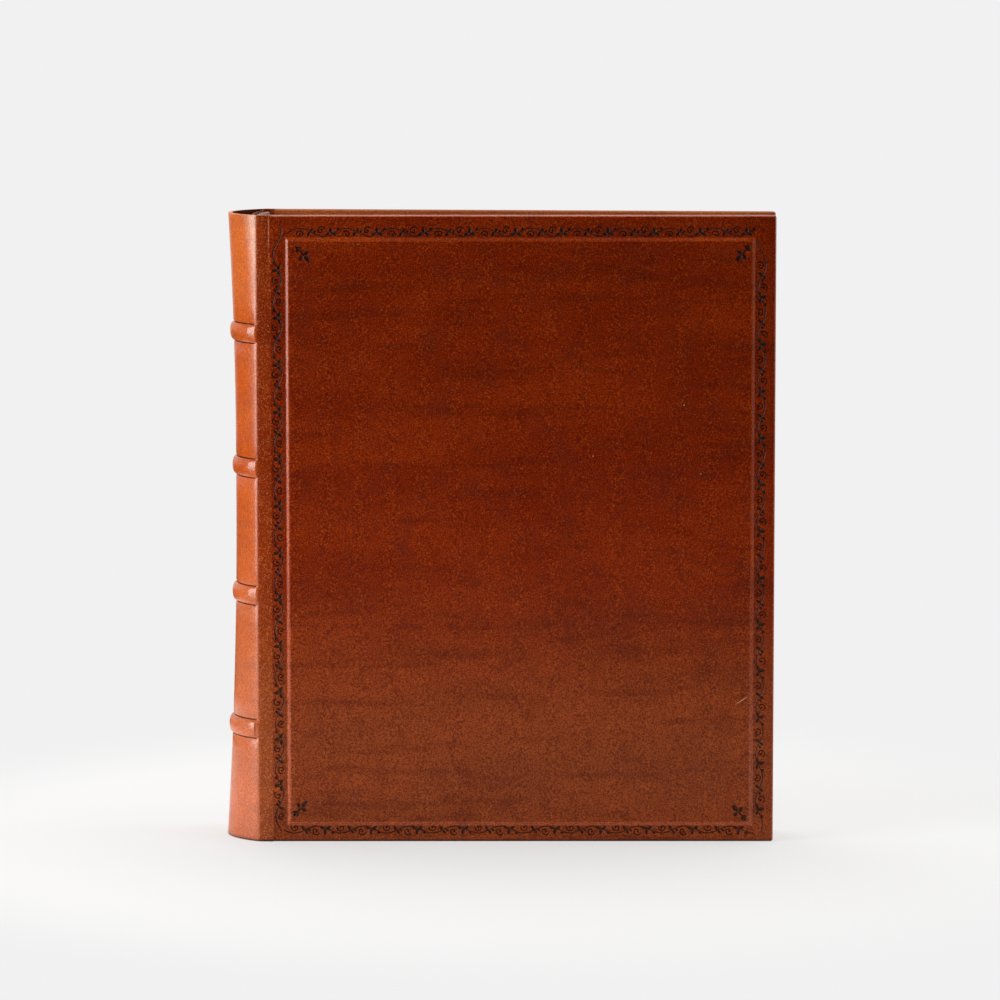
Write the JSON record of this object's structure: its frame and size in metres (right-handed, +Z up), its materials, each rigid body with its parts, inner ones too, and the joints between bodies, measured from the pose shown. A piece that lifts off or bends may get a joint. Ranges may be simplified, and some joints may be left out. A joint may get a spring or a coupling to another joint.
{
  "type": "leather-bound book",
  "caption": "Large antique book bound in tooled brown leather, with raised bands on a hollow spine and two covers that open.",
  "frame": {"origin": "on the ground under the middle of the book as it stands on its tail", "axes": "+Z up, from tail to head; +X from the spine to the fore-edge; the front cover faces -Y"},
  "size_m": [0.273, 0.0512, 0.313],
  "materials": {
    "calf": "burnished, satin",
    "leaves": "matt",
    "endpaper": "matt",
    "board": "matt",
    "linen": "matt",
    "lining_paper": "matt",
    "silk": "soft sheen"
  },
  "bodies": {
    "book_block": {"text_block": "leaves", "front_flyleaf": "endpaper", "back_flyleaf": "endpaper", "headband": "silk", "tailband": "silk", "sewing_tape_1": "linen", "sewing_tape_2": "linen", "sewing_tape_3": "linen", "spine_cloth": "linen", "spine_liner": "calf", "hollow_tube": "lining_paper", "spine_card": "board", "raised_band_1": "board", "raised_band_2": "board", "raised_band_3": "board", "raised_band_4": "board", "spine_leather": "calf"},
    "front_cover": {"front_board": "board", "front_panel_card": "board", "front_leather": "calf", "front_pastedown": "endpaper"},
    "back_cover": {"back_board": "board", "back_panel_card": "board", "back_leather": "calf", "back_pastedown": "endpaper"}
  },
  "joints": [
    {"name": "front_cover_hinge", "type": "hinge", "parent": "book_block", "child": "front_cover", "pos_m": [-0.11451, -0.0253, 0], "axis": [0, 0, -1], "range_deg": [0, 170]},
    {"name": "back_cover_hinge", "type": "hinge", "parent": "book_block", "child": "back_cover", "pos_m": [-0.11451, 0.0253, 0], "axis": [0, 0, 1], "range_deg": [0, 170]}
  ]
}
